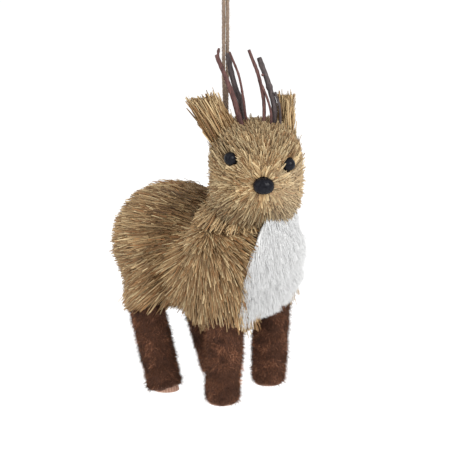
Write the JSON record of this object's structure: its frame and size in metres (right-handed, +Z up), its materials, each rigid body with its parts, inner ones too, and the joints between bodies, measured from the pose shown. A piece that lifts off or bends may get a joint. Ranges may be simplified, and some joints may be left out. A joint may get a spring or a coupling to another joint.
{
  "type": "hanging deer ornament",
  "caption": "Small standing fawn of trimmed straw bristles with twig antlers, bead eyes and nose, a white fur bib and felt legs, hung from a doubled jute twine.",
  "frame": {"origin": "top of the twine's loop, where a hook carries it", "axes": "+Z up along the twine, the deer faces -Y, its own left is +X"},
  "size_m": [0.051, 0.0921, 0.1877],
  "materials": {
    "core": "pressed fibre, matt",
    "straw": "trimmed natural straw bristles",
    "fur": "white long-pile fake fur",
    "wood": "plain cut wood",
    "wire": "bare wire",
    "bead": "gloss black",
    "red_bark": "reddish bark",
    "grey_bark": "grey-brown bark",
    "felt": "brushed brown felt",
    "jute": "twisted natural jute"
  },
  "bodies": {
    "hanger": {"hanging_twine": "jute"},
    "twine_end": {"twine_knot": "jute"},
    "deer": {"body_core": "core", "rump_coat": "straw", "shoulder_coat": "straw", "chest_fur": "fur", "neck_dowel": "wood", "neck_binding": "wire", "head_core": "core", "head_coat": "straw", "ear_left": "straw", "ear_right": "straw", "eye_left": "bead", "eye_right": "bead", "nose": "bead", "antler_right_main": "red_bark", "antler_right_back": "grey_bark", "antler_right_thin": "red_bark", "antler_left_main": "grey_bark", "antler_left_fork": "red_bark", "antler_left_side": "grey_bark", "leg_core_front_left": "wood", "leg_core_front_right": "wood", "leg_core_rear_left": "wood", "leg_core_rear_right": "wood", "leg_felt_front_left": "felt", "leg_felt_front_right": "felt", "leg_felt_rear_left": "felt", "leg_felt_rear_right": "felt", "leg_pegs": "wood"}
  },
  "joints": [
    {"name": "twine_turn", "type": "hinge", "parent": "hanger", "child": "twine_end", "pos_m": [0, 0, -0.0707], "axis": [0, 0, 1], "range_deg": [-180, 180]},
    {"name": "deer_tilt", "type": "hinge", "parent": "twine_end", "child": "deer", "pos_m": [0, 0, -0.074], "axis": [1, 0, 0], "range_deg": [-6, 60]}
  ]
}
